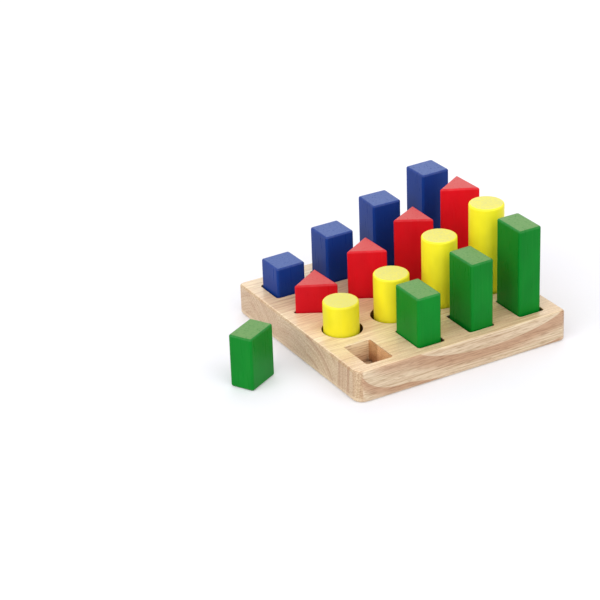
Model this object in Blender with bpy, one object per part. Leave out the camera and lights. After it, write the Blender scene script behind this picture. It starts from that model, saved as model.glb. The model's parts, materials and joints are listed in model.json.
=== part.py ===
"""Wooden shape sorter: a thick socketed board and sixteen blocks of four shapes in four lengths.

Metres, +Z up. The origin is the centre of the board's underside. Columns follow X, from the shortest
blocks at -X to the longest at +X. Rows follow Y: rectangles in front, then cylinders, triangles and
squares. Fifteen blocks stand in their sockets, and the shortest rectangle stands beside the board.
"""
import math
from typing import Callable, NamedTuple

import bmesh
import bpy
from mathutils import Vector

MM = 0.001

# Board: staves along X, glued edge to edge and sawn to size, so the outer two are narrower. Its corner at
# -X and -Y is rounded more than the other three.
BOARD_LENGTH = 218 * MM
BOARD_WIDTH = 213.2 * MM
BOARD_THICKNESS = 30 * MM
BOARD_CORNER_RADIUS = 5 * MM
NEAR_CORNER_RADIUS = 10 * MM
BOARD_EDGE_RADIUS = 2.5 * MM
STAVES = 5
FRONT_STAVE_WIDTH = 37.8 * MM
BACK_STAVE_WIDTH = 23.4 * MM
GLUE_GAP = 0.3 * MM

# Sockets: margins run from the board's edges to the centres of the outer sockets, clearances from the sides
# of a block to those of its socket, and the radii are those of the upright corners
COLUMNS = 4
RECTANGLE_END_MARGIN = 29.4 * MM
CYLINDER_END_MARGIN = 33.1 * MM
TRIANGLE_END_MARGIN = 31.9 * MM
SQUARE_END_MARGIN = 30.7 * MM
FRONT_MARGIN = 30.8 * MM
BACK_MARGIN = 32.4 * MM
RECTANGLE_CLEARANCE = 1.5 * MM
CYLINDER_CLEARANCE = 2.1 * MM
TRIANGLE_CLEARANCE = 1.8 * MM
SQUARE_CLEARANCE = 1.6 * MM
RECTANGLE_SOCKET_RADIUS = 2.5 * MM
TRIANGLE_SOCKET_RADIUS = 2.5 * MM
SQUARE_SOCKET_RADIUS = 3 * MM
SOCKET_FLOOR = 9 * MM
MOUTH_CHAMFER = 0.5 * MM
SEAT_GAP = 0.3 * MM

# Blocks
RECTANGLE_WIDTH = 23.5 * MM
RECTANGLE_DEPTH = 36 * MM
CYLINDER_DIAMETER = 32.5 * MM
TRIANGLE_SIDE = 37.5 * MM
SQUARE_SIDE = 29.4 * MM
SHORTEST_LENGTH = 48.7 * MM
LENGTH_STEP = 18 * MM
BLOCK_EDGE_RADIUS = 1.8 * MM

# Blocks that are longer than the rest of their column or, below zero, shorter
ODD_LENGTHS = {
    "green_rectangle_1": 1.6 * MM,
    "yellow_cylinder_2": -5 * MM,
    "yellow_cylinder_4": 1 * MM,
    "red_triangle_1": -1.2 * MM,
}

# Blocks that are cut fuller than the rest of their row, and so are their sockets: the extra on each side
FULLER_CUTS = {"green_rectangle_2": 0.45 * MM, "red_triangle_1": 0.7 * MM}

# The block that stands on the table, left of the board: from the board's end to its centre
FREE_BLOCK = "green_rectangle_1"
FREE_BLOCK_DISTANCE = 53.6 * MM
FREE_BLOCK_Y = -16.7 * MM
FREE_BLOCK_TURN = math.radians(-61)

# How the loose blocks stand off their sockets' centres, as shares of the clearance: along X, along Y,
# and round the block's upright axis, measured at its corners
STANDS_OFF = {
    "green_rectangle_2": (-0.56, 0.40, 0.04),
    "green_rectangle_3": (0.40, -0.30, 0.24),
    "green_rectangle_4": (-0.56, 0.56, 0.04),
    "yellow_cylinder_1": (-0.37, 0.00, 0.00),
    "yellow_cylinder_2": (0.28, -0.41, 0.00),
    "yellow_cylinder_3": (0.62, -0.21, 0.00),
    "yellow_cylinder_4": (0.80, -0.06, 0.00),
    "red_triangle_1": (-0.64, 0.11, 0.64),
    "red_triangle_2": (0.53, -0.28, 0.29),
    "red_triangle_3": (0.01, -0.06, -0.31),
    "red_triangle_4": (-0.56, 0.17, 0.48),
    "blue_square_1": (-0.08, 0.06, 0.27),
    "blue_square_2": (0.10, 0.04, 0.16),
    "blue_square_3": (-0.06, 0.07, -0.34),
    "blue_square_4": (0.28, -0.28, 0.27),
}

# Facets
CIRCLE_SIDES = 48
CORNER_STEPS = 6
EDGE_STEPS = 3
SHARP_ANGLE = math.radians(35)
CUTTER_OVERRUN = 5 * MM

# Finishes: linear base colour and roughness
FINISHES = {
    "rubberwood": ((0.80, 0.59, 0.35), 0.45),
    "green_paint": ((0.006, 0.240, 0.028), 0.30),
    "yellow_paint": ((0.880, 0.780, 0.010), 0.30),
    "red_paint": ((0.670, 0.007, 0.012), 0.30),
    "blue_paint": ((0.010, 0.040, 0.240), 0.30),
}

# Worked out from the sizes above
STAVE_WIDTH = (BOARD_WIDTH - FRONT_STAVE_WIDTH - BACK_STAVE_WIDTH) / (STAVES - 2)


def rectangle(length, width):
    """Outline of a rectangle round the origin, counter-clockwise."""
    x = length / 2
    y = width / 2
    return [(-x, -y), (x, -y), (x, y), (-x, y)]


def circle(radius, sides):
    """Outline of a circle round the origin, counter-clockwise."""
    steps = [2 * math.pi * i / sides for i in range(sides)]
    return [(radius * math.cos(a), radius * math.sin(a)) for a in steps]


def round_corners(outline, radii):
    """The outline with an arc in place of each corner. It is convex and runs counter-clockwise."""
    rounded = []
    for i, radius in enumerate(radii):
        corner = Vector(outline[i])
        to_last = (Vector(outline[i - 1]) - corner).normalized()
        to_next = (Vector(outline[(i + 1) % len(outline)]) - corner).normalized()
        corner_angle = to_last.angle(to_next)
        centre = corner + (to_last + to_next).normalized() * radius / math.sin(corner_angle / 2)
        start = math.atan2(to_last.x, -to_last.y)
        for step in range(CORNER_STEPS + 1):
            angle = start + (math.pi - corner_angle) * step / CORNER_STEPS
            rounded.append((centre.x + radius * math.cos(angle), centre.y + radius * math.sin(angle)))
    return rounded


# Outlines of the four shapes. Each side moves out by grow, which turns a block's outline into its socket's.


def rectangle_shape(grow):
    return rectangle(RECTANGLE_WIDTH + 2 * grow, RECTANGLE_DEPTH + 2 * grow)


def cylinder_shape(grow):
    return circle(CYLINDER_DIAMETER / 2 + grow, CIRCLE_SIDES)


def triangle_shape(grow):
    """Equilateral triangle with one corner towards -X, its box centred on the origin."""
    inner_radius = TRIANGLE_SIDE / (2 * math.sqrt(3))
    centroid_x = inner_radius / 2
    corner_radius = 2 * (inner_radius + grow)
    angles = [math.pi, math.pi * 5 / 3, math.pi / 3]
    return [(centroid_x + corner_radius * math.cos(a), corner_radius * math.sin(a)) for a in angles]


def square_shape(grow):
    return rectangle(SQUARE_SIDE + 2 * grow, SQUARE_SIDE + 2 * grow)


class Row(NamedTuple):
    """A row of sockets, and the blocks of one shape that fit into them."""

    kind: str
    shape: Callable
    finish: str
    end_margin: float
    clearance: float
    socket_radius: float


# From front to back
ROWS = [
    Row(
        "green_rectangle", rectangle_shape, "green_paint",
        RECTANGLE_END_MARGIN, RECTANGLE_CLEARANCE, RECTANGLE_SOCKET_RADIUS,
    ),
    Row("yellow_cylinder", cylinder_shape, "yellow_paint", CYLINDER_END_MARGIN, CYLINDER_CLEARANCE, 0),
    Row(
        "red_triangle", triangle_shape, "red_paint",
        TRIANGLE_END_MARGIN, TRIANGLE_CLEARANCE, TRIANGLE_SOCKET_RADIUS,
    ),
    Row(
        "blue_square", square_shape, "blue_paint",
        SQUARE_END_MARGIN, SQUARE_CLEARANCE, SQUARE_SOCKET_RADIUS,
    ),
]
ROW_PITCH = (BOARD_WIDTH - FRONT_MARGIN - BACK_MARGIN) / (len(ROWS) - 1)


class Place(NamedTuple):
    """One of the sixteen places on the board: its block's name, its row and column, its socket's centre."""

    name: str
    row: Row
    column: int
    x: float
    y: float

    def outline(self, grow):
        """The block's outline with each side moved out by grow."""
        return self.row.shape(grow + FULLER_CUTS.get(self.name, 0))

    def socket_outline(self, flare):
        """The outline of the socket's wall, moved out by flare."""
        outline = self.outline(self.row.clearance + flare)
        if self.row.socket_radius == 0:
            return outline
        return round_corners(outline, len(outline) * [self.row.socket_radius + flare])


def all_places():
    places = []
    for row_number, row in enumerate(ROWS):
        column_pitch = (BOARD_LENGTH - 2 * row.end_margin) / (COLUMNS - 1)
        y = -BOARD_WIDTH / 2 + FRONT_MARGIN + row_number * ROW_PITCH
        for column in range(COLUMNS):
            x = -BOARD_LENGTH / 2 + row.end_margin + column * column_pitch
            places.append(Place(f"{row.kind}_{column + 1}", row, column, x, y))
    return places


def add_body(bm, sections, offset=(0, 0)):
    """Add one closed body through its sections, each an outline and a height, from the lowest up."""
    rings = []
    for outline, height in sections:
        rings.append([bm.verts.new((x + offset[0], y + offset[1], height)) for x, y in outline])
    for low, high in zip(rings, rings[1:]):
        for i in range(len(low)):
            j = (i + 1) % len(low)
            bm.faces.new((low[i], low[j], high[j], high[i]))
    bm.faces.new(rings[0][::-1])
    bm.faces.new(rings[-1])


def round_edges(bm, radius):
    """Round every sharp edge, and leave the small steps of circles and arcs as they are."""
    bm.normal_update()
    sharp = [edge for edge in bm.edges if edge.calc_face_angle() > SHARP_ANGLE]
    bmesh.ops.bevel(bm, geom=sharp, offset=radius, segments=EDGE_STEPS, profile=0.5, affect="EDGES")


def finish_mesh(name, bm, finish=None):
    """Turn the bmesh into a mesh that is smooth except at its sharp edges."""
    mesh = bpy.data.meshes.new(name)
    bm.to_mesh(mesh)
    bm.free()
    mesh.shade_smooth()
    mesh.set_sharp_from_angle(angle=SHARP_ANGLE)
    if finish:
        mesh.materials.append(finish)
    return mesh


def add_object(name, mesh, parent, position=(0, 0, 0), turn=0.0):
    obj = bpy.data.objects.new(name, mesh)
    obj.location = position
    obj.rotation_euler = (0, 0, turn)
    obj.parent = parent
    bpy.context.collection.objects.link(obj)
    return obj


def as_cutter(obj):
    obj.hide_render = True
    obj.display_type = "WIRE"
    return obj


def add_boolean(obj, cutter, operation):
    modifier = obj.modifiers.new(cutter.name, "BOOLEAN")
    modifier.operation = operation
    modifier.solver = "EXACT"
    modifier.object = cutter


def make_finishes():
    """One Principled material for each finish."""
    finishes = {}
    for name, (colour, roughness) in FINISHES.items():
        material = bpy.data.materials.new(name)
        material.use_nodes = True
        shader = material.node_tree.nodes["Principled BSDF"]
        shader.inputs["Base Color"].default_value = (*colour, 1)
        shader.inputs["Roughness"].default_value = roughness
        shader.inputs["Metallic"].default_value = 0.0
        material.diffuse_color = (*colour, 1)
        finishes[name] = material
    return finishes


def make_socket_cutter(parent):
    """All sockets as one cutter: straight walls, a flat floor and a small chamfer round each mouth."""
    bm = bmesh.new()
    for place in all_places():
        wall = place.socket_outline(0)
        mouth = place.socket_outline(MOUTH_CHAMFER)
        sections = [
            (wall, SOCKET_FLOOR),
            (wall, BOARD_THICKNESS - MOUTH_CHAMFER),
            (mouth, BOARD_THICKNESS),
            (mouth, BOARD_THICKNESS + CUTTER_OVERRUN),
        ]
        add_body(bm, sections, (place.x, place.y))
    return as_cutter(add_object("socket_cutter", finish_mesh("socket_cutter", bm), parent))


def make_slab_cutter(name, front, back, parent):
    """The slice of the board that one stave fills, from its front glue line to its back one."""
    bm = bmesh.new()
    outline = rectangle(BOARD_LENGTH + 2 * CUTTER_OVERRUN, back - front)
    sections = [(outline, -CUTTER_OVERRUN), (outline, BOARD_THICKNESS + CUTTER_OVERRUN)]
    add_body(bm, sections, (0, (front + back) / 2))
    return as_cutter(add_object(name, finish_mesh(name, bm), parent))


def make_board(parent, finish):
    """The board as separate staves, each one a slice of the same rounded blank with its sockets cut."""
    bm = bmesh.new()
    radii = [NEAR_CORNER_RADIUS] + 3 * [BOARD_CORNER_RADIUS]
    outline = round_corners(rectangle(BOARD_LENGTH, BOARD_WIDTH), radii)
    add_body(bm, [(outline, 0), (outline, BOARD_THICKNESS)])
    round_edges(bm, BOARD_EDGE_RADIUS)
    blank = finish_mesh("board_blank", bm, finish)
    sockets = make_socket_cutter(parent)
    first_line = -BOARD_WIDTH / 2 + FRONT_STAVE_WIDTH
    lines = [first_line + i * STAVE_WIDTH for i in range(STAVES - 1)]
    fronts = [-BOARD_WIDTH / 2 - CUTTER_OVERRUN] + [y + GLUE_GAP / 2 for y in lines]
    backs = [y - GLUE_GAP / 2 for y in lines] + [BOARD_WIDTH / 2 + CUTTER_OVERRUN]
    for number, (front, back) in enumerate(zip(fronts, backs), start=1):
        stave = add_object(f"board_stave_{number}", blank, parent)
        add_boolean(stave, make_slab_cutter(f"stave_slab_{number}", front, back, parent), "INTERSECT")
        add_boolean(stave, sockets, "DIFFERENCE")


def block_position(place):
    """Where the centre of the block's underside is, and how far the block is turned about Z."""
    if place.name == FREE_BLOCK:
        return (-BOARD_LENGTH / 2 - FREE_BLOCK_DISTANCE, FREE_BLOCK_Y, 0), FREE_BLOCK_TURN
    share_x, share_y, share_round = STANDS_OFF[place.name]
    clearance = place.row.clearance
    x = place.x + share_x * clearance
    y = place.y + share_y * clearance
    corner_reach = max(math.hypot(*corner) for corner in place.outline(0))
    turn = share_round * clearance / corner_reach
    return (x, y, SOCKET_FLOOR + SEAT_GAP), turn


def make_blocks(parent, finishes):
    """Every block, with its origin at the centre of its underside, on the line that it lifts along."""
    for place in all_places():
        length = SHORTEST_LENGTH + place.column * LENGTH_STEP + ODD_LENGTHS.get(place.name, 0)
        outline = place.outline(0)
        bm = bmesh.new()
        add_body(bm, [(outline, 0), (outline, length)])
        round_edges(bm, BLOCK_EDGE_RADIUS)
        mesh = finish_mesh(place.name, bm, finishes[place.row.finish])
        position, turn = block_position(place)
        add_object(place.name, mesh, parent, position, turn)


def clear_scene():
    for obj in list(bpy.data.objects):
        bpy.data.objects.remove(obj, do_unlink=True)


def main():
    clear_scene()
    finishes = make_finishes()
    sorter = add_object("shape_sorter", None, None)
    make_board(sorter, finishes["rubberwood"])
    make_blocks(sorter, finishes)


main()
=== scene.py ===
"""The looks of the wooden shape sorter: grained board, painted blocks, studio floor, lamps and camera.

Metres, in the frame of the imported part. The outlines, heights and places of all pieces are read from the
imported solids, and the pieces that replace them have finer edges and carry the finishes.
"""
import cmath
import json
import math
from typing import NamedTuple

import bmesh
import bpy
import numpy as np
from mathutils import Matrix, Vector


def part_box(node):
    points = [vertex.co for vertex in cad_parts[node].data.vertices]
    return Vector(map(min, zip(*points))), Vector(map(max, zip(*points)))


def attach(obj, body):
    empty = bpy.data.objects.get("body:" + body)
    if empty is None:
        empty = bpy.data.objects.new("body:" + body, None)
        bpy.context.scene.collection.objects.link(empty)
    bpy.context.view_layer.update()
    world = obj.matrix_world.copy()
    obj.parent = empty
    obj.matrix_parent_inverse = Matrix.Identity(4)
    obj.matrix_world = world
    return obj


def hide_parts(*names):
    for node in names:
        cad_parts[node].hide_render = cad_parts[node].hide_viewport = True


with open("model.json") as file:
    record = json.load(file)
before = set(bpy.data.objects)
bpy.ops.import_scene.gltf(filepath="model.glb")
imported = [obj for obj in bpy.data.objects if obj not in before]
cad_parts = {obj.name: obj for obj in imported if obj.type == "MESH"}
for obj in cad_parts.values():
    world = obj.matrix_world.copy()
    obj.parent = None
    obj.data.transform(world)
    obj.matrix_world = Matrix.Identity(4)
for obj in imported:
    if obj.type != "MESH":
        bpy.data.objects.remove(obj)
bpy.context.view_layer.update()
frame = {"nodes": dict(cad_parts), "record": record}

MM = 0.001

# Board: its corner at -X and -Y is rounded more than the other three
STAVES = [f"board_stave_{number}" for number in range(1, 6)]
BOARD_CORNER_RADIUS = 5 * MM
NEAR_CORNER_RADIUS = 10 * MM
BOARD_EDGE_RADIUS = 2.5 * MM
GLUE_LINE = 0.1 * MM
MOUTH_RADIUS = 0.5 * MM


class BlockShape(NamedTuple):
    """A block's straight sides, how often they repeat round it, and the radii of upright edges."""

    sides: int
    repeats: int
    block_radius: float
    socket_radius: float


# Blocks: a round one has no straight sides
BLOCK_SHAPES = {
    "green_rectangle": BlockShape(4, 2, 2.4 * MM, 2.5 * MM),
    "yellow_cylinder": BlockShape(0, 0, 0, 0),
    "red_triangle": BlockShape(3, 3, 1.1 * MM, 2.5 * MM),
    "blue_square": BlockShape(4, 4, 2.4 * MM, 3 * MM),
}
BLOCKS_IN_ROW = 4
FREE_BLOCK = "green_rectangle_1"
BLOCK_EDGE_RADIUS = 1.8 * MM

# Facets: steps round circles, corners, rims and mouths, the least radius and the least sharp angle
CIRCLE_STEPS = 128
CORNER_STEPS = 8
EDGE_STEPS = 6
MOUTH_STEPS = 4
LEAST_RADIUS = 0.05 * MM
SHARP_ANGLE = math.radians(35)

# Making: how far cutters run past the board, and the name that points on rounded rims are marked with
CUTTER_OVERRUN = 5 * MM
RIM_MARK = "rim"

# Camera: where it stands round the board, its roll, and how far it is moved sideways and up
CAMERA_AZIMUTH = math.radians(-28.881)
CAMERA_ELEVATION = math.radians(26.491)
CAMERA_ROLL = math.radians(-2.251)
CAMERA_DISTANCE = 1.98994
CAMERA_RIGHT = -0.09034
CAMERA_UP = 0.02695
CAMERA_LENS_MM = 130.42

# Lamps: azimuth, elevation and the angle that the soft panel fills, in degrees, and its strength
LAMPS = {
    "left_panel": (-75, 35, 60, 1.38),
    "front_panel": (10, 40, 60, 1.00),
    "back_panel": (150, 35, 60, 0.66),
}

# Room: how bright the sky is as a light and to the eye, and the floor's colour, glow, radius and drop
SKY_LEVEL = 0.66
BACKDROP_LEVEL = 1.0
FLOOR_COLOUR = (0.80, 0.80, 0.84, 1)
FLOOR_GLOW = 0.10
FLOOR_RADIUS = 12
FLOOR_DROP = 0.3 * MM


class Polygon:
    """A shape seen from above. Its straight sides touch the given points, and its corners are arcs.

    The first side faces along turn, and each radius is that of the corner between a side and the next.
    """

    def __init__(self, points, turn, corner_radii):
        sides = len(corner_radii)
        self.angles = [turn + 2 * math.pi * side / sides for side in range(sides)]
        self.reaches = [max(x * math.cos(a) + y * math.sin(a) for x, y in points) for a in self.angles]
        self.corner_radii = corner_radii

    def corner(self, side, inset):
        """Where a side meets the next one, with both moved in."""
        after = (side + 1) % len(self.angles)
        normals = Matrix([(math.cos(self.angles[i]), math.sin(self.angles[i])) for i in (side, after)])
        return normals.inverted() @ Vector((self.reaches[side] - inset, self.reaches[after] - inset))

    def ring(self, inset):
        """The points round the shape, counter-clockwise, with its sides moved in."""
        sweep = 2 * math.pi / len(self.angles)
        points = []
        for side, start in enumerate(self.angles):
            radius = max(self.corner_radii[side] - inset, LEAST_RADIUS)
            x, y = self.corner(side, inset + radius)
            for step in range(CORNER_STEPS + 1):
                angle = start + sweep * step / CORNER_STEPS
                points.append((x + radius * math.cos(angle), y + radius * math.sin(angle)))
        return points


class Circle:
    """A round shape seen from above, through the given points."""

    def __init__(self, points):
        low = np.min(points, axis=0)
        high = np.max(points, axis=0)
        self.centre = (low + high) / 2
        self.radius = max(high - low) / 2

    def ring(self, inset):
        radius = self.radius - inset
        angles = [2 * math.pi * step / CIRCLE_STEPS for step in range(CIRCLE_STEPS)]
        x, y = self.centre
        return [(x + radius * math.cos(a), y + radius * math.sin(a)) for a in angles]


def points_of(node):
    """The node's points, one row of x, y and z each."""
    return np.array([vertex.co for vertex in frame["nodes"][node].data.vertices])


def turn_of(node, repeats):
    """How far a block is turned about Z, from its side faces, which repeat that often round it."""
    total = 0
    for face in frame["nodes"][node].data.polygons:
        side = math.hypot(face.normal.x, face.normal.y)
        angle = math.atan2(face.normal.y, face.normal.x)
        total += side * face.area * cmath.exp(1j * repeats * angle)
    return cmath.phase(total) / repeats


def shape_from(points, sides, turn, corner_radius):
    if sides == 0:
        return Circle(points)
    return Polygon(points, turn, sides * [corner_radius])


def loft(bm, shape, sections):
    """Add one closed body through its sections: the inset and height of each, and whether it is on a rim.

    The points on rims are marked, for the paint.
    """
    rim = bm.verts.layers.float.get(RIM_MARK) or bm.verts.layers.float.new(RIM_MARK)
    rings = []
    for inset, height, on_rim in sections:
        ring = [bm.verts.new((x, y, height)) for x, y in shape.ring(inset)]
        for vertex in ring:
            vertex[rim] = float(on_rim)
        rings.append(ring)
    for low, high in zip(rings, rings[1:]):
        for i in range(len(low)):
            j = (i + 1) % len(low)
            bm.faces.new((low[i], low[j], high[j], high[i]))
    bm.faces.new(rings[0][::-1])
    bm.faces.new(rings[-1])


def rounded_sections(low, high, radius):
    """The sections of an upright body with a rounded rim at both ends, from the lowest up."""
    rim = []
    for step in range(EDGE_STEPS + 1):
        angle = math.pi / 2 * step / EDGE_STEPS
        rim.append((radius * (1 - math.sin(angle)), radius * (1 - math.cos(angle)), 0 < step < EDGE_STEPS))
    lower = [(inset, low + rise, rounded) for inset, rise, rounded in rim]
    upper = [(inset, high - rise, rounded) for inset, rise, rounded in reversed(rim)]
    return lower + upper


def socket_sections(floor, top):
    """The sections of a socket's cutter, which flares to round the socket's mouth."""
    sections = [(0, floor, False)]
    for step in range(MOUTH_STEPS + 1):
        angle = math.pi / 2 * step / MOUTH_STEPS
        flare = MOUTH_RADIUS * (1 - math.cos(angle))
        sections.append((-flare, top - MOUTH_RADIUS * (1 - math.sin(angle)), False))
    sections.append((-MOUTH_RADIUS, top + CUTTER_OVERRUN, False))
    return sections


def mesh_from(name, bm):
    mesh = bpy.data.meshes.new(name)
    bm.to_mesh(mesh)
    bm.free()
    return mesh


def add_object(name, data):
    obj = bpy.data.objects.new(name, data)
    bpy.context.scene.collection.objects.link(obj)
    return obj


def add_piece(name, mesh, material, node, body):
    """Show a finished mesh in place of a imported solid, moving with its body."""
    mesh.shade_smooth()
    mesh.set_sharp_from_angle(angle=SHARP_ANGLE)
    mesh.materials.clear()
    mesh.materials.append(material)
    piece = add_object(name, mesh)
    shading = piece.modifiers.new("flat_faces", "WEIGHTED_NORMAL")
    shading.keep_sharp = True
    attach(piece, body)
    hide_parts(node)
    return piece


class Nodes:
    """Short calls that build the node tree of a new material or world, round the shader it comes with."""

    def __init__(self, owner, shader="Principled BSDF"):
        owner.use_nodes = True
        self.owner = owner
        self.tree = owner.node_tree
        self.shader = self.tree.nodes[shader]

    def add(self, kind, inputs, **settings):
        node = self.tree.nodes.new("ShaderNode" + kind)
        for setting, value in settings.items():
            setattr(node, setting, value)
        for socket, value in inputs.items():
            self.feed(node.inputs[socket], value)
        return node

    def feed(self, socket, value):
        """Link a socket to another node's output, or set it to a constant."""
        if isinstance(value, bpy.types.NodeSocket):
            self.tree.links.new(value, socket)
        else:
            socket.default_value = value

    def finish(self, **inputs):
        """Set the shader's sockets, whose names are written with underscores."""
        for name, value in inputs.items():
            self.feed(self.shader.inputs[name.replace("_", " ")], value)
        return self.owner

    def math(self, operation, first, second=0.0):
        return self.add("Math", {0: first, 1: second}, operation=operation).outputs[0]

    def scaled(self, vector, scale):
        return self.add("VectorMath", {0: vector, 1: scale}, operation="MULTIPLY").outputs[0]

    def millimetres(self):
        """The place on the piece in millimetres."""
        return self.scaled(self.add("TexCoord", {}).outputs["Object"], (1 / MM,) * 3)

    def facing(self, axis):
        """How squarely the surface faces along an axis, either way, from 0 to 1."""
        normal = self.split(self.add("TexCoord", {}).outputs["Normal"])
        return self.math("ABSOLUTE", normal[axis])

    def split(self, vector):
        return self.add("SeparateXYZ", {0: vector}).outputs

    def noise(self, vector, texture):
        """Noise from 0 to 1."""
        inputs = {"Vector": self.scaled(vector, texture.scale), "Scale": 1.0, "Detail": texture.detail}
        return self.add("TexNoise", inputs).outputs["Fac"]

    def remap(self, value, low, high, to_low=0.0, to_high=1.0):
        inputs = {"Value": value, "From Min": low, "From Max": high, "To Min": to_low, "To Max": to_high}
        return self.add("MapRange", inputs).outputs["Result"]

    def ramp(self, value, stops):
        """A grey level that changes with value through (value, level) stops."""
        node = self.add("ValToRGB", {"Fac": value})
        elements = node.color_ramp.elements
        while len(elements) < len(stops):
            elements.new(1.0)
        for element, (position, level) in zip(elements, stops):
            element.position = position
            element.color = (level, level, level, 1)
        return node.outputs["Color"]

    def blend(self, share, first, second, mode="MIX"):
        inputs = {0: share, 6: first, 7: second}
        return self.add("Mix", inputs, data_type="RGBA", blend_type=mode).outputs[2]

    def bump(self, height, depth):
        return self.add("Bump", {"Height": height, "Distance": depth, "Strength": 1.0}).outputs["Normal"]


# Finishes: the range of most noise, how rough satin surfaces are, how deep their relief is, and plain white
NOISE_RANGE = (0.3, 0.7)
SATIN_ROUGHNESS = (0.26, 0.36)
RELIEF_DEPTH = 0.03 * MM
WHITE = (1, 1, 1, 1)


class Texture(NamedTuple):
    """Noise: its features per millimetre along X, Y and Z, its detail, and the range of it that shows."""

    scale: tuple
    detail: float
    shown: tuple = NOISE_RANGE


# Wood: linear colours of pale wood, its darker bands, cut sockets paler partly as painted light, and lower
# rims' painted light
PALE_WOOD = (0.96, 0.80, 0.545, 1)
BAND_WOOD = (0.66, 0.41, 0.24, 1)
CUT_AND_LIT_WOOD = (0.98, 0.80, 0.52, 1)
# Painted light: the lower rims are paler, as if lit by the white floor below them
RIM_PAINTED_LIGHT = (0.92, 0.76, 0.53, 1)

# Wood: what its colour is multiplied by in the grain, on the board's outside and in the sockets, some of it
# painted shade
LINE_SHADE = (0.74, 0.66, 0.57, 1)
PORE_SHADE = (0.55, 0.43, 0.33, 1)
# Painted shade: the outer sides darker than the top, as if less lit, partly also duller wood
SIDE_PAINTED_SHADE = (0.79, 0.79, 0.82, 1)
END_GRAIN_SHADE = (0.69, 0.64, 0.60, 1)
SOCKET_END_SHADE = (0.92, 0.71, 0.56, 1)
DARK_END_SHADE = (0.68, 0.48, 0.34, 1)
DARK_END_STAVE = "board_stave_2"
# Painted shade: the sockets darker towards their floors and in crevices
DEEP_PAINTED_SHADE = (0.74, 0.64, 0.62, 1)
CREVICE_PAINTED_SHADE = (0.08, 0.05, 0.03, 1)

# Wood: how far the outside, underside, front skin, lower rims' painted light, sockets' painted shade, mouths
# and crevices reach
OUTER_DEPTH_MM = 8
UNDERSIDE_MM = 5
SKIN_MM = 1.4
END_RIM_MM = 5
SIDE_RIM_MM = 2
RIM_FADE_MM = 1
SHADE_START_MM = 8
SHADE_FULL_MM = 15
MOUTH_DEPTHS_MM = (0.3, 0.8)
CREVICE_REACH = 8 * MM

# Wood: its textures, of which the bands lie across the rings
WOBBLE = Texture((0.008, 0.05, 0.05), 3)
BANDS = Texture((0.16, 1, 1), 3, (0.45, 0.65))
DRIFTS = Texture((0.006, 0.03, 0.03), 2, (0.4, 0.7))
STREAKS = Texture((0.012, 0.5, 0.5), 4, (0.45, 0.70))
LINES = Texture((0.02, 0.8, 0.8), 3, (0.30, 0.56))
PORES = Texture((0.10, 1.2, 1.2), 3, (0.50, 0.66))

# Wood: how squarely a face lies across X, across Y and flat, where that starts to count and counts in full
END_FACING = (0.40, 0.52)
SIDE_FACING = (0.3, 0.7)
FLAT_FACING = (0.90, 1.0)

# Wood: shares of darker wood in its figure, of pores, of cut wood with painted light, of the lower rims'
# painted light, and of streaks in the relief
END_RING_SHARE = 0.3
FLAT_BAND_SHARE = 0.3
DRIFT_SHARE = 0.22
STREAK_SHARE = 0.45
PORE_SHARES = (0.3, 0.6)
CUT_AND_LIT_SHARE = 0.8
END_RIM_LIGHT_SHARE = 0.3
SIDE_RIM_LIGHT_SHARE = 0.9
STREAK_RELIEF = 0.4

# Wood: how dark a ring is through its width, and how dark the painted shade in a crevice is by how open it
# is
RING_STOPS = [(0.0, 0.0), (0.02, 1.0), (0.35, 0.62), (0.55, 0.12), (0.64, 0.0)]
CREVICE_STOPS = [(0.0, 1.0), (0.3, 0.75), (0.55, 0.15), (0.75, 0.0)]

# Wood: how far rings dip, by the cubed distance, and a place past the board's end, for staves without a dip
DIP_BEND = 1.25e-5
NO_DIP_X = -110


class Figure(NamedTuple):
    """How a stave's growth rings lie, in millimetres: round a pith line along X.

    The pith line bows away by bow_y and bow_z times the squared distance from bow_x. Beyond dip_x, towards
    -X, it runs straight on and the rings dip into the stave. A ring starts at ring_start from the pith line.
    The contrasts, of rings and of the bands on the ends, and the tint are shares of the darker wood.
    """

    pith_y: float
    pith_z: float
    bow_x: float
    ring_width: float
    wobble: float
    contrast: float
    end_contrast: float
    bow_y: float = 0.0
    bow_z: float = 0.0
    dip_x: float = NO_DIP_X
    ring_start: float = 0.0
    tint: float = 0.0


FIGURES = {
    "board_stave_1": Figure(
        pith_y=291.6, pith_z=45, bow_x=30, bow_y=1.2e-4, dip_x=-57,
        ring_width=1.75, ring_start=399.16, wobble=0.06, contrast=1.0, end_contrast=1.2,
    ),
    "board_stave_2": Figure(
        pith_y=-18, pith_z=-25, bow_x=-60, bow_z=1e-4,
        ring_width=4.5, wobble=1.0, contrast=0.40, end_contrast=0.9, tint=-0.15,
    ),
    "board_stave_3": Figure(
        pith_y=10, pith_z=-70, bow_x=20, bow_y=5e-5, bow_z=2e-4,
        ring_width=4.0, wobble=1.6, contrast=0.25, end_contrast=0.7, tint=-0.05,
    ),
    "board_stave_4": Figure(
        pith_y=102, pith_z=-30, bow_x=-30, bow_y=8e-5, bow_z=1e-4,
        ring_width=3.4, wobble=1.6, contrast=0.35, end_contrast=0.4, tint=0.05,
    ),
    "board_stave_5": Figure(
        pith_y=62, pith_z=-45, bow_x=50, bow_y=6e-5, bow_z=2e-4,
        ring_width=3.0, wobble=1.6, contrast=0.30, end_contrast=0.4, tint=0.05,
    ),
}


class Faces(NamedTuple):
    """Whether a point of the board is on an end, on a side, at the outside and in a socket, from 0 to 1."""

    on_end: bpy.types.NodeSocket
    on_side: bpy.types.NodeSocket
    outer_x: bpy.types.NodeSocket
    outer_y: bpy.types.NodeSocket
    inside: bpy.types.NodeSocket


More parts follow.
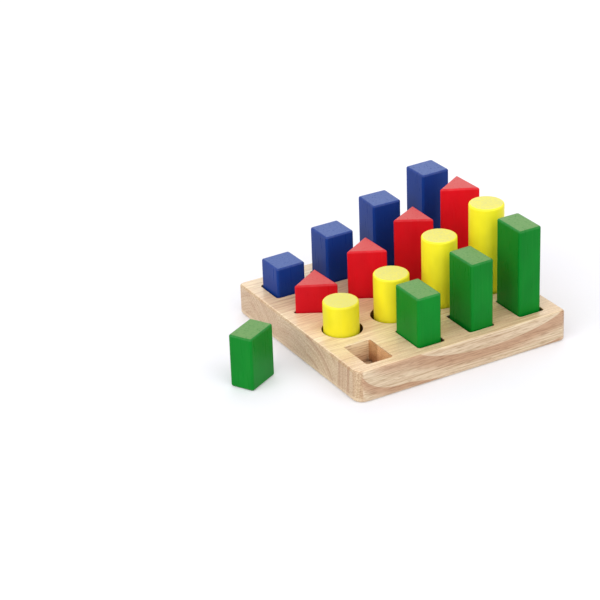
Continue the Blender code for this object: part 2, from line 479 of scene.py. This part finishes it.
def board_faces(nodes, place, far_corner):
    """The faces of a board whose middle is at x and y of 0, from the place of its far upper corner."""
    x, y, z = nodes.split(place)
    half_length, half_width, top = far_corner
    outer_x, outer_y = (
        nodes.remap(nodes.math("ABSOLUTE", across), half - OUTER_DEPTH_MM, half - OUTER_DEPTH_MM / 2)
        for across, half in ((x, half_length), (y, half_width))
    )
    shallow, deep = MOUTH_DEPTHS_MM
    below_mouth = nodes.remap(z, top - deep, top - shallow, 1, 0)
    inside = nodes.math("SUBTRACT", below_mouth, nodes.math("MAXIMUM", outer_x, outer_y))
    inside = nodes.math("MAXIMUM", inside, 0.0)
    return Faces(
        on_end=nodes.remap(nodes.facing("X"), *END_FACING),
        on_side=nodes.remap(nodes.facing("Y"), *SIDE_FACING),
        outer_x=outer_x,
        outer_y=outer_y,
        inside=nodes.math("MULTIPLY", inside, nodes.math("GREATER_THAN", z, UNDERSIDE_MM)),
    )


def ring_distance(nodes, place, figure, front):
    """The distance from a stave's pith line, with a slow wobble.

    The skin at the board's front counts as part of its front face, so that few rings show on the rounding.
    """
    x, y, z = nodes.split(place)
    depth = nodes.math("SUBTRACT", y, front)
    y = nodes.math("ADD", front, nodes.math("MULTIPLY", depth, nodes.math("GREATER_THAN", depth, SKIN_MM)))
    bowed = nodes.math("MAXIMUM", x, figure.dip_x)
    along = nodes.math("SUBTRACT", bowed, figure.bow_x)
    square = nodes.math("MULTIPLY", along, along)
    across_y = nodes.math("SUBTRACT", y, figure.pith_y)
    across_y = nodes.math("SUBTRACT", across_y, nodes.math("MULTIPLY", square, figure.bow_y))
    across_z = nodes.math("SUBTRACT", z, figure.pith_z)
    across_z = nodes.math("SUBTRACT", across_z, nodes.math("MULTIPLY", square, figure.bow_z))
    squares = [nodes.math("MULTIPLY", across, across) for across in (across_y, across_z)]
    distance = nodes.math("SQRT", nodes.math("ADD", *squares))
    beyond = nodes.math("SUBTRACT", bowed, x)
    dip = nodes.math("MULTIPLY", nodes.math("POWER", beyond, 3.0), DIP_BEND)
    distance = nodes.math("ADD", distance, dip)
    wobble = nodes.noise(place, WOBBLE)
    return nodes.math("ADD", distance, nodes.math("MULTIPLY", wobble, figure.wobble))


def ring_colour(nodes, place, faces, figure, front):
    """Pale wood with darker rings, broad bands of rings and slow drifts along the grain."""
    distance = ring_distance(nodes, place, figure, front)
    rings = nodes.math("SUBTRACT", distance, figure.ring_start)
    ring = nodes.math("FRACT", nodes.math("DIVIDE", rings, figure.ring_width))
    contrast = nodes.remap(faces.on_end, 0, 1, figure.contrast, END_RING_SHARE)
    share = nodes.math("MULTIPLY", nodes.ramp(ring, RING_STOPS), contrast)
    bands = nodes.noise(nodes.add("CombineXYZ", {0: distance}).outputs[0], BANDS)
    broad = nodes.remap(faces.on_end, 0, 1, FLAT_BAND_SHARE, figure.end_contrast)
    share = nodes.math("ADD", share, nodes.remap(bands, *BANDS.shown, 0, broad))
    drifts = nodes.noise(place, DRIFTS)
    share = nodes.math("ADD", share, nodes.remap(drifts, *DRIFTS.shown, 0, DRIFT_SHARE))
    share = nodes.math("ADD", share, figure.tint)
    return nodes.blend(share, PALE_WOOD, BAND_WOOD)


def shade_faces(nodes, colour, faces, socket_shade):
    """Darken the board's outer sides, as painted shade and partly duller wood, its end grain and the end
    grain in its sockets.
    """
    side = nodes.math("MULTIPLY", faces.on_side, faces.outer_y)
    side_painted_shade = nodes.blend(side, WHITE, SIDE_PAINTED_SHADE)
    end_shade = nodes.blend(faces.inside, END_GRAIN_SHADE, socket_shade)
    shade = nodes.blend(faces.on_end, side_painted_shade, end_shade)
    return nodes.blend(1.0, colour, shade, mode="MULTIPLY")


def paint_shade_in_sockets(nodes, colour, inside, z, top):
    """Paint shade into the sockets, darker towards their floors, and in crevices such as those beside the
    blocks.
    """
    deep = nodes.remap(z, top - SHADE_FULL_MM, top - SHADE_START_MM, 1, 0)
    colour = nodes.blend(nodes.math("MULTIPLY", deep, inside), colour, DEEP_PAINTED_SHADE, mode="MULTIPLY")
    # Painted shade in crevices, darker where the ambient occlusion finds them closed in
    openness = nodes.add("AmbientOcclusion", {"Distance": CREVICE_REACH}).outputs["AO"]
    closed = nodes.math("MULTIPLY", nodes.ramp(openness, CREVICE_STOPS), inside)
    return nodes.blend(closed, colour, CREVICE_PAINTED_SHADE, mode="MULTIPLY")


def paint_light_on_rims(nodes, colour, faces, z):
    """Paint light on the board's rounded lower rims, as if lit by the white floor, higher up on its ends
    than on its sides.
    """
    on_ends = nodes.remap(z, END_RIM_MM - RIM_FADE_MM, END_RIM_MM, END_RIM_LIGHT_SHARE, 0)
    on_sides = nodes.remap(z, 0, SIDE_RIM_MM, SIDE_RIM_LIGHT_SHARE, 0)
    on_ends = nodes.math("MULTIPLY", faces.outer_x, on_ends)
    on_sides = nodes.math("MULTIPLY", faces.outer_y, on_sides)
    off_underside = nodes.remap(nodes.facing("Z"), *FLAT_FACING, 1, 0)
    rim_light = nodes.math("MULTIPLY", nodes.math("MAXIMUM", on_ends, on_sides), off_underside)
    return nodes.blend(rim_light, colour, RIM_PAINTED_LIGHT)


def make_wood(node, far_corner):
    """Clear-lacquered wood with rings round a pith line, and streaks, grain lines and pores along X."""
    nodes = Nodes(bpy.data.materials.new(node + "_rubberwood"))
    place = nodes.millimetres()
    z = nodes.split(place)["Z"]
    _, half_width, top = far_corner
    faces = board_faces(nodes, place, far_corner)
    colour = ring_colour(nodes, place, faces, FIGURES[node], -half_width)
    # Paler wood in the sockets: partly fresh-cut wood, partly painted light on their walls
    colour = nodes.blend(nodes.math("MULTIPLY", faces.inside, CUT_AND_LIT_SHARE), colour, CUT_AND_LIT_WOOD)

    streaks = nodes.noise(place, STREAKS)
    colour = nodes.blend(nodes.remap(streaks, *STREAKS.shown, 0, STREAK_SHARE), colour, BAND_WOOD)
    lines = nodes.remap(nodes.noise(place, LINES), *LINES.shown, 1, 0)
    colour = nodes.blend(lines, colour, LINE_SHADE, mode="MULTIPLY")
    pores = nodes.remap(nodes.noise(place, PORES), *PORES.shown)
    pores = nodes.math("MULTIPLY", pores, nodes.remap(faces.on_side, 0, 1, *PORE_SHARES))
    colour = nodes.blend(pores, colour, PORE_SHADE, mode="MULTIPLY")

    socket_shade = DARK_END_SHADE if node == DARK_END_STAVE else SOCKET_END_SHADE
    colour = shade_faces(nodes, colour, faces, socket_shade)
    colour = paint_shade_in_sockets(nodes, colour, faces.inside, z, top)
    colour = paint_light_on_rims(nodes, colour, faces, z)

    relief = nodes.math("SUBTRACT", nodes.math("MULTIPLY", streaks, STREAK_RELIEF), pores)
    return nodes.finish(
        Base_Color=colour,
        Roughness=nodes.remap(streaks, *NOISE_RANGE, *SATIN_ROUGHNESS),
        Normal=nodes.bump(relief, RELIEF_DEPTH),
        Specular_IOR_Level=0.45,
        Coat_Weight=0.12,
        Coat_Roughness=0.16,
    )


# Paint: linear colours, and the paler tint on the end grain: partly its thinner coat, partly a painted sheen
PAINTS = {
    "green": ((0.001, 0.197, 0.016, 1), (0.145, 0.30, 0.083, 1)),
    "yellow": ((0.900, 0.800, 0.025, 1), (0.68, 0.64, 0.175, 1)),
    "red": ((0.600, 0.005, 0.014, 1), (0.58, 0.079, 0.073, 1)),
    "blue": ((0.006, 0.037, 0.228, 1), (0.064, 0.118, 0.340, 1)),
}

# Paint: what its colour is multiplied by on blocks that look lighter or darker than the others: partly paint
# that differs, partly painted light and shade
TONES_AND_PAINTED_LIGHT = {
    "green_rectangle_2": 1.08,
    "yellow_cylinder_1": 0.92,
    "yellow_cylinder_3": 1.08,
    "yellow_cylinder_4": 1.07,
    "red_triangle_2": 1.12,
    "red_triangle_4": 1.07,
}

# Paint: its textures
CLOUDS = Texture((0.05, 0.05, 0.03), 2)
GRAIN = Texture((0.9, 0.9, 0.02), 4, (0.50, 0.75))
MOTTLE = Texture((0.55, 0.55, 0.05), 5, (0.35, 0.65))
RIM_HIGHLIGHTS = Texture((0.3, 0.3, 0.3), 4, (0.45, 0.70))
PITS = Texture((1.6, 1.6, 0.3), 3)

# Paint: how squarely a block's face lies flat, where that starts to count and counts in full
BLOCK_END_FACING = (0.96, 0.995)

# Paint: the dimmest and brightest clouds, shares of tint with painted sheen, of white as a painted highlight
# on rims, and of grain in the relief
CLOUD_SHADES = (0.90, 1.06)
GRAIN_SHARE = 0.05
END_SHARES = (0.60, 1.0)
RIM_HIGHLIGHT_SHARES = (0.015, 0.035)
GRAIN_RELIEF = 0.08


def make_paint(node):
    """Satin paint over wood: grain runs up the sides, ends are paler and mottled, partly as painted sheen,
    and rims carry a painted highlight.
    """
    colour, end_tint_and_sheen = PAINTS[node.split("_")[0]]
    tone_and_light = TONES_AND_PAINTED_LIGHT.get(node, 1)
    nodes = Nodes(bpy.data.materials.new(node + "_satin_paint"))
    place = nodes.millimetres()
    on_end = nodes.remap(nodes.facing("Z"), *BLOCK_END_FACING)

    clouds = nodes.noise(place, CLOUDS)
    # Tone per block: partly paint that differs, partly painted light and shade
    shade = nodes.remap(clouds, *CLOUDS.shown, *(tone_and_light * level for level in CLOUD_SHADES))
    shades = nodes.add("CombineXYZ", {axis: shade for axis in range(3)}).outputs[0]
    paint = nodes.blend(1.0, colour, shades, mode="MULTIPLY")
    grain = nodes.noise(place, GRAIN)
    paint = nodes.blend(nodes.remap(grain, *GRAIN.shown, 0, GRAIN_SHARE), paint, end_tint_and_sheen)
    mottle = nodes.noise(place, MOTTLE)
    # Paler, mottled ends: partly thinner paint on the end grain, partly painted sheen
    ends = nodes.blend(nodes.remap(mottle, *MOTTLE.shown, *END_SHARES), paint, end_tint_and_sheen)
    paint = nodes.blend(on_end, paint, ends)

    # Painted highlight: a little white along the rounded rims
    rim = nodes.add("Attribute", {}, attribute_name=RIM_MARK).outputs["Fac"]
    highlight = nodes.remap(nodes.noise(place, RIM_HIGHLIGHTS), *RIM_HIGHLIGHTS.shown, *RIM_HIGHLIGHT_SHARES)
    paint = nodes.blend(nodes.math("MULTIPLY", rim, highlight), paint, WHITE)

    pits = nodes.math("MULTIPLY", nodes.noise(place, PITS), on_end)
    relief = nodes.math("ADD", nodes.math("MULTIPLY", grain, GRAIN_RELIEF), pits)
    return nodes.finish(
        Base_Color=paint,
        Roughness=nodes.remap(mottle, *NOISE_RANGE, *SATIN_ROUGHNESS),
        Normal=nodes.bump(relief, RELIEF_DEPTH),
        Specular_IOR_Level=0.10,
    )


def make_board():
    """Cut the sockets into one rounded slab, and slice it along its glue lines into staves."""
    points = np.vstack([points_of(node) for node in STAVES])
    low = points[:, 2].min()
    top = points[:, 2].max()
    bm = bmesh.new()
    radii = 2 * [BOARD_CORNER_RADIUS] + [NEAR_CORNER_RADIUS, BOARD_CORNER_RADIUS]
    slab = Polygon(points[:, :2], 0, radii)
    loft(bm, slab, rounded_sections(low, top, BOARD_EDGE_RADIUS))
    blank = mesh_from("board_blank", bm)
    sockets = make_socket_cutter(points, low, top)

    boxes = [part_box(node) for node in STAVES]
    lines = [(front[1].y + back[0].y) / 2 for front, back in zip(boxes, boxes[1:])]
    fronts = [boxes[0][0].y - CUTTER_OVERRUN] + [line + GLUE_LINE / 2 for line in lines]
    backs = [line - GLUE_LINE / 2 for line in lines] + [boxes[-1][1].y + CUTTER_OVERRUN]
    for node, front, back in zip(STAVES, fronts, backs):
        reach = boxes[0][1].x + CUTTER_OVERRUN
        slice_points = [(-reach, front), (reach, back)]
        bm = bmesh.new()
        sections = [(0, low - CUTTER_OVERRUN, False), (0, top + CUTTER_OVERRUN, False)]
        loft(bm, Polygon(slice_points, 0, 4 * [0]), sections)
        cutter = add_object("stave_slice", mesh_from("stave_slice", bm))
        mesh = cut(blank, {"INTERSECT": cutter, "DIFFERENCE": sockets})
        bpy.data.objects.remove(cutter)
        wood = make_wood(node, points.max(axis=0) / MM)
        add_piece(node + "_wood", mesh, wood, node, "board")
    bpy.data.objects.remove(sockets)


def make_socket_cutter(points, low, top):
    """One cutter for all sockets. The floors' points are the staves' only ones between the rounded rims."""
    heights = points[:, 2]
    inside = (heights > low + 2 * BOARD_EDGE_RADIUS) & (heights < top - 2 * BOARD_EDGE_RADIUS)
    floors = points[inside]
    centres = {node: block_centre(node) for node in block_nodes()}
    centres[FREE_BLOCK] = empty_socket_centre()
    nodes = list(centres)
    distances = [np.hypot(*(floors[:, :2] - centres[node]).T) for node in nodes]
    nearest = np.argmin(distances, axis=0)
    bm = bmesh.new()
    for index, node in enumerate(nodes):
        own = floors[nearest == index]
        block = BLOCK_SHAPES[kind_of(node)]
        shape = shape_from(own[:, :2], block.sides, 0, block.socket_radius)
        loft(bm, shape, socket_sections(own[:, 2].mean(), top))
    return add_object("socket_cutter", mesh_from("socket_cutter", bm))


def cut(blank, cutters):
    """The blank's mesh after the Boolean operations."""
    obj = add_object("cut_blank", blank)
    for operation, cutter in cutters.items():
        modifier = obj.modifiers.new(operation, "BOOLEAN")
        modifier.operation = operation
        modifier.solver = "EXACT"
        modifier.object = cutter
    graph = bpy.context.evaluated_depsgraph_get()
    mesh = bpy.data.meshes.new_from_object(obj.evaluated_get(graph))
    bpy.data.objects.remove(obj)
    return mesh


def kind_of(node):
    return node.rsplit("_", 1)[0]


def block_nodes():
    return [f"{kind}_{number}" for kind in BLOCK_SHAPES for number in range(1, BLOCKS_IN_ROW + 1)]


def block_centre(node):
    low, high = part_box(node)
    return np.array([(low.x + high.x) / 2, (low.y + high.y) / 2])


def empty_socket_centre():
    low, high = frame["record"]["physics"]["openings"][0]["box_m"]
    return (np.array(low[:2]) + np.array(high[:2])) / 2


def make_blocks():
    for node in block_nodes():
        block = BLOCK_SHAPES[kind_of(node)]
        turn = turn_of(node, block.repeats) if block.repeats else 0
        low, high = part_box(node)
        shape = shape_from(points_of(node)[:, :2], block.sides, turn, block.block_radius)
        bm = bmesh.new()
        loft(bm, shape, rounded_sections(low.z, high.z, BLOCK_EDGE_RADIUS))
        add_piece(node + "_painted", mesh_from(node + "_painted", bm), make_paint(node), node, node)


def make_floor():
    """A white floor that keeps the shadows, and glows a little where it is seen or mirrored."""
    bm = bmesh.new()
    bmesh.ops.create_circle(bm, cap_ends=True, segments=CIRCLE_STEPS, radius=FLOOR_RADIUS)
    floor = add_object("floor", mesh_from("floor", bm))
    floor.location.z = -FLOOR_DROP
    nodes = Nodes(bpy.data.materials.new("white_floor"))
    nodes.finish(
        Base_Color=FLOOR_COLOUR,
        Roughness=0.9,
        Specular_IOR_Level=0.0,
        Emission_Color=WHITE,
        Emission_Strength=nodes.math("MULTIPLY", seen_share(nodes), FLOOR_GLOW),
    )
    floor.data.materials.append(nodes.owner)


def seen_share(nodes):
    """1 for rays from the camera or from a mirroring or clear surface, else 0."""
    path = nodes.add("LightPath", {}).outputs
    mirrored = nodes.math("MAXIMUM", path["Is Glossy Ray"], path["Is Transmission Ray"])
    return nodes.math("MAXIMUM", path["Is Camera Ray"], mirrored)


def make_world():
    """A white room: dimmer as a light than it is to the eye."""
    nodes = Nodes(bpy.data.worlds.new("white_room"), "Background")
    level = nodes.remap(seen_share(nodes), 0, 1, SKY_LEVEL, BACKDROP_LEVEL)
    nodes.finish(Color=WHITE, Strength=level)
    bpy.context.scene.world = nodes.owner


def direction(azimuth, elevation):
    """From the object towards a lamp or the camera. Azimuth 0 stands at -Y and 90 degrees at +X."""
    flat = math.cos(elevation)
    return Vector((math.sin(azimuth) * flat, -math.cos(azimuth) * flat, math.sin(elevation)))


def make_lamps():
    for name, (azimuth, elevation, width, strength) in LAMPS.items():
        data = bpy.data.lights.new(name, "SUN")
        data.energy = strength
        data.angle = math.radians(width)
        lamp = add_object(name, data)
        back = direction(math.radians(azimuth), math.radians(elevation))
        lamp.location = back
        lamp.rotation_euler = back.to_track_quat("Z", "Y").to_euler()


def make_camera():
    data = bpy.data.cameras.new("camera")
    data.lens = CAMERA_LENS_MM
    camera = add_object("camera", data)
    back = direction(CAMERA_AZIMUTH, CAMERA_ELEVATION)
    right = Vector((math.cos(CAMERA_AZIMUTH), math.sin(CAMERA_AZIMUTH), 0))
    up = back.cross(right)
    place = Matrix((right, up, back)).transposed().to_4x4() @ Matrix.Rotation(CAMERA_ROLL, 4, "Z")
    place.translation = right * CAMERA_RIGHT + up * CAMERA_UP + back * CAMERA_DISTANCE
    camera.matrix_world = place
    bpy.context.scene.camera = camera


make_board()
make_blocks()
make_floor()
make_world()
make_lamps()
make_camera()
bpy.context.scene.view_settings.view_transform = "Standard"
